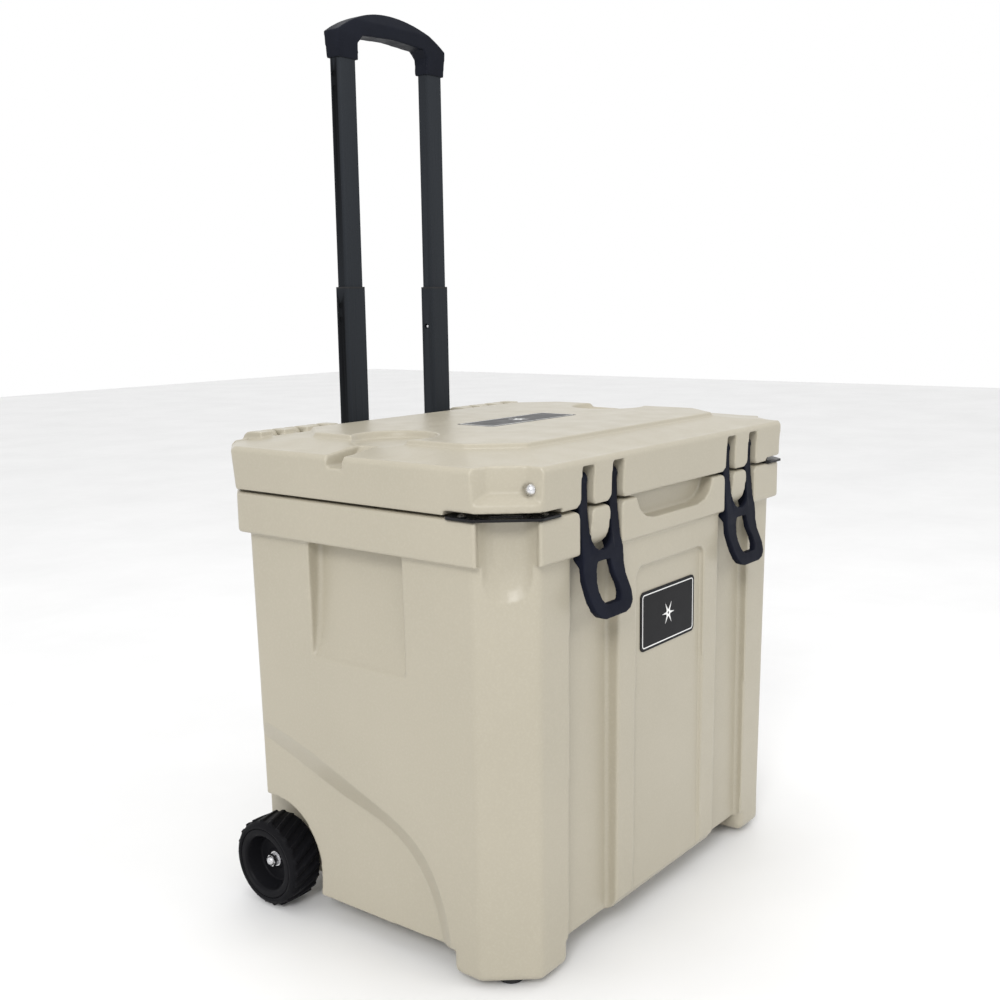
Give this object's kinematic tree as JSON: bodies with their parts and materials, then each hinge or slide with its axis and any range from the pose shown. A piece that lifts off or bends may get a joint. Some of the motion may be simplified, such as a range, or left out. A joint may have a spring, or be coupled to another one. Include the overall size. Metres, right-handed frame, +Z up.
{
  "type": "cooler on wheels",
  "caption": "Hard insulated cooler with a hinged latched lid, a two-stage telescopic tow handle in a rear channel and rear wheels.",
  "frame": {"origin": "on the floor, below the middle of the whole object's box, handle extended", "axes": "+Z up, +Y from the latches to the tow handle, +X to the right seen from behind the front"},
  "size_m": [0.58, 0.4444, 1.012],
  "materials": {
    "shell_plastic": "satin, slightly textured sand-coloured polyethylene",
    "plate_steel": "black coat with bright worn edges",
    "bright_steel": "bright",
    "foot_rubber": "matte",
    "label_black": "black plate with a plain pale border",
    "black_plastic": "fine grain",
    "latch_rubber": "satin blue-black",
    "handle_tube": "satin black anodised",
    "grip_plastic": "fine grain",
    "tyre_rubber": "satin",
    "hub_plastic": "satin"
  },
  "bodies": {
    "tub": {"tub_shell": "shell_plastic", "corner_plate_left": "plate_steel", "corner_plate_right": "plate_steel", "plate_screws": "bright_steel", "foot_left": "foot_rubber", "foot_right": "foot_rubber", "foot_screws": "bright_steel", "front_label": "label_black", "guide_tube_left": "black_plastic", "guide_tube_right": "black_plastic", "guide_top_plate": "black_plastic", "guide_base_plate": "black_plastic", "guide_screws": "bright_steel", "axle": "bright_steel", "axle_nuts": "bright_steel", "axle_washers": "bright_steel", "hinge_rod_left": "bright_steel", "hinge_rod_right": "bright_steel", "drain_body": "black_plastic", "drain_seal": "foot_rubber"},
    "lid": {"lid_shell": "shell_plastic", "lid_gasket": "foot_rubber", "lid_badge": "label_black", "latch_rod_left": "bright_steel", "latch_rod_right": "bright_steel"},
    "pull_latch_left": {"latch_left": "latch_rubber"},
    "pull_latch_right": {"latch_right": "latch_rubber"},
    "handle_middle": {"mid_tube_left": "handle_tube", "mid_tube_right": "handle_tube", "mid_collar_left": "black_plastic", "mid_collar_right": "black_plastic", "mid_foot_left": "black_plastic", "mid_foot_right": "black_plastic"},
    "handle_top": {"top_tube_left": "handle_tube", "top_tube_right": "handle_tube", "top_foot_left": "black_plastic", "top_foot_right": "black_plastic", "grip": "grip_plastic"},
    "pin_left": {"lock_pin_left": "bright_steel"},
    "pin_right": {"lock_pin_right": "bright_steel"},
    "wheel_left": {"tyre_left": "tyre_rubber", "wheel_hub_left": "hub_plastic"},
    "wheel_right": {"tyre_right": "tyre_rubber", "wheel_hub_right": "hub_plastic"},
    "drain_cap": {"drain_plug": "black_plastic"}
  },
  "joints": [
    {"name": "lid_hinge", "type": "hinge", "parent": "tub", "child": "lid", "pos_m": [0, 0.20825, 0.52], "axis": [-1, 0, 0], "range_deg": [0, 52]},
    {"name": "latch_left", "type": "hinge", "parent": "lid", "child": "pull_latch_left", "pos_m": [-0.146, -0.19275, 0.502], "axis": [-1, 0, 0], "range_deg": [0, 105]},
    {"name": "latch_right", "type": "hinge", "parent": "lid", "child": "pull_latch_right", "pos_m": [0.146, -0.19275, 0.502], "axis": [-1, 0, 0], "range_deg": [0, 105]},
    {"name": "handle_lower_slide", "type": "slide", "parent": "tub", "child": "handle_middle", "axis": [0, 0, 1], "range_m": [-0.227, 0]},
    {"name": "handle_upper_slide", "type": "slide", "parent": "handle_middle", "child": "handle_top", "axis": [0, 0, 1], "range_m": [-0.2605, 0]},
    {"name": "lock_pin_left_press", "type": "slide", "parent": "handle_top", "child": "pin_left", "axis": [-1, 0, 0], "range_m": [0, 0.002], "stiffness_N_per_m": 400, "springref_m": -0.001},
    {"name": "lock_pin_right_press", "type": "slide", "parent": "handle_top", "child": "pin_right", "axis": [1, 0, 0], "range_m": [0, 0.002], "stiffness_N_per_m": 400, "springref_m": -0.001},
    {"name": "wheel_left_spin", "type": "hinge", "parent": "tub", "child": "wheel_left", "pos_m": [-0.265, 0.15825, 0.05], "axis": [1, 0, 0], "continuous": true},
    {"name": "wheel_right_spin", "type": "hinge", "parent": "tub", "child": "wheel_right", "pos_m": [0.265, 0.15825, 0.05], "axis": [1, 0, 0], "continuous": true},
    {"name": "drain_plug_turn", "type": "hinge", "parent": "tub", "child": "drain_cap", "pos_m": [0.265, -0.12475, 0.085], "axis": [1, 0, 0], "range_deg": [0, 90]}
  ]
}
